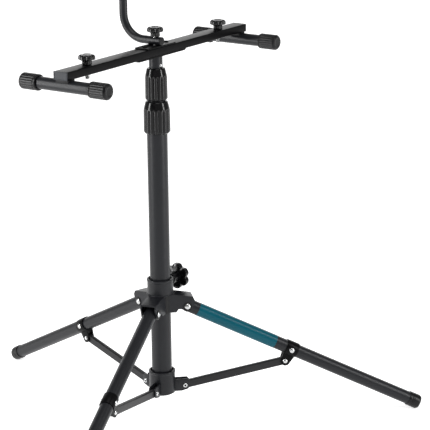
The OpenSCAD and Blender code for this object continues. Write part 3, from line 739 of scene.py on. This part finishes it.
make_piece(
    "crossbar_section", rounded_box(bar_low, bar_high, 2.0, along=0), "head", black_coat,
    ("crossbar",), smooth=40,
)
print("crossbar section, mm", [round(side, 1) for side in (bar_high - bar_low).yz])

# %% End plugs, saddle and plate
plug_low, plug_high = box_mm("bar_end_plugs")
plug_parts = []
for low_x, high_x in ((plug_low.x, bar_low.x), (bar_high.x, plug_high.x)):
    rim_low = Vector((low_x, plug_low.y, plug_low.z))
    rim_high = Vector((high_x, plug_high.y, plug_high.z))
    bm = rounded_box(rim_low, rim_high, 0.6, steps=2)
    # the outermost face, and the largest of those that lie equally far out
    end = max(bm.faces, key=lambda face: abs(face.calc_center_median().x) + 0.001 * face.calc_area())
    bmesh.ops.inset_region(bm, faces=[end], thickness=1.3, depth=0)
    bmesh.ops.inset_region(bm, faces=[end], thickness=0.3, depth=-0.5)
    plug_parts.append((bm, Matrix()))
make_piece(
    "bar_end_plugs_moulded", joined(plug_parts), "head", grey_plastic,
    ("bar_end_plugs",), smooth=30,
)
dress("head_saddle", black_coat, 0.5)
dress("head_plate", black_coat, 0.5)
dress("arm_cradles", dull_nylon, 0.5)
print("end plugs", len(plug_parts))

# %% Screws on the plate
screw_head_radius = 4.5
screw_x = box_mm("plate_screws")[1].x - screw_head_radius
plate_high = box_mm("head_plate")[1].z
screw_head = lathe(
    [
        (0, -1), (2.5, -1), (2.5, 0), (screw_head_radius, 0, 0.2), (4.3, 1.0, 0.6),
        (2.9, 2.1, 0.8), (1.9, 2.1, 0.1), (1.7, 0.8), (0, 0.8),
    ],
    steps=48,
)
screw_places = [Matrix.Translation((side * screw_x, 0, plate_high)) for side in (-1, 1)]
make_piece(
    "plate_screw_heads", joined([(screw_head, place) for place in screw_places]), "head", black_coat,
    ("plate_screws",), smooth=35,
)
print("screws at x, mm", round(screw_x, 1))

# %% [markdown]
# ## Rubber caps
# The cross arms end in ribbed caps with a smooth bead at the mouth and a bevelled end. The
# feet are plainer: a rounded rubber boot with two shallow rings. Both are lathe shapes,
# and the ribs are pressed in by the same wave as on the twist collars.

# %% Caps on the cross arms
def arm_cap(arm_radius, outer, length):
    """A cap with its mouth at z = 0 and its closed end at z = length."""
    levels = 10
    ribs = [(outer, 6 + (length - 13) * level / levels) for level in range(levels + 1)]
    bm = lathe(
        [(0, length - 2.2), (arm_radius + 0.02, length - 2.2)]
        + [(arm_radius + 0.02, 0, 0.2), (outer - 0.5, 0, 0.8)]
        + [(outer, 1.6, 0.5), (outer, 3.6, 0.5), (outer - 0.5, 4.6, 0.4)]
        + ribs
        + [(outer, length - 3.2, 1.2), (outer - 3.0, length - 0.2, 1.2), (outer - 6, length, 0.6)]
        + [(outer - 7, length - 0.5, 0.4), (0, length - 0.5)],
        steps=rib_count * steps_per_rib,
    )
    flute(bm, rib_count, 0.9, 6, length - 3.0, fade=2.5, outside=outer - 0.6, narrow=1.4)
    return bm


cap_length = 38
quarter = math.pi / 2
for side in ("left", "right"):
    node = f"arm_caps_{side}"
    low, high = box_mm(node)
    arm_low, arm_high = box_mm(f"arm_{side}")
    arm_radius = (arm_high.x - arm_low.x) / 2
    centre = (low + high) / 2
    cap = arm_cap(arm_radius, (high.x - low.x) / 2, cap_length)
    back = Matrix.Translation((centre.x, high.y - cap_length, centre.z)) @ Matrix.Rotation(-quarter, 4, "X")
    front = Matrix.Translation((centre.x, low.y + cap_length, centre.z)) @ Matrix.Rotation(quarter, 4, "X")
    pair = joined([(cap, back), (cap, front)])
    make_piece(f"{node}_ribbed", pair, "head", grip_rubber, (node,), smooth=50)
print("arm radius, mm", round(arm_radius, 1))

# %% Feet
leg_slope = math.radians(27)
leg_length = 510.0
foot_length = 24.0


def leg_place(number):
    """The frame of a leg: its origin at the hinge pin, +X down the leg, +Z on its upper side."""
    pin = Vector(joints[f"leg_{number}_fold"]["pos_m"]) * 1000
    turn = math.atan2(pin.y, pin.x)
    return Matrix.Translation(pin) @ Matrix.Rotation(turn, 4, "Z") @ Matrix.Rotation(leg_slope, 4, "Y")


foot = lathe(
    [
        (0, foot_length), (12.5, foot_length), (12.5, 0, 0.3), (13.4, 0, 0.4), (14, 1.2, 0.6),
        (14, 5.5, 0.3), (13.5, 6.2, 0.3), (14, 6.9, 0.3), (14, 9.0, 0.3), (13.5, 9.7, 0.3), (14, 10.4, 0.3),
        (14, foot_length, 4.2), (0, foot_length),
    ],
)
down_the_leg = Matrix.Translation((leg_length - foot_length, 0, 0)) @ Matrix.Rotation(quarter, 4, "Y")
for number in (1, 2, 3):
    node = f"foot_cap_{number}"
    make_piece(
        f"foot_boot_{number}", joined([(foot, Matrix())]), f"leg_{number}", grip_rubber,
        (node,), leg_place(number) @ down_the_leg, smooth=50,
    )
dress("hanger_caps", dull_nylon, 0.5)
print("boot length, mm", foot_length)

# %% [markdown]
# ## Inner parts
# Bushes, glides, plugs and nuts sit inside the tubes and collars and hardly show. They stay
# as the CAD made them and only take their finish.

# %% Finish what stays
# a node that a new piece stands for is hidden already
inner_finish = {"nylon": dull_nylon, "zinc": zinc_plate}
for node, piece in frame["nodes"].items():
    if piece.hide_render:
        continue
    piece.data.materials.clear()
    piece.data.materials.append(inner_finish[slot_of[node]])
    print("kept", node)
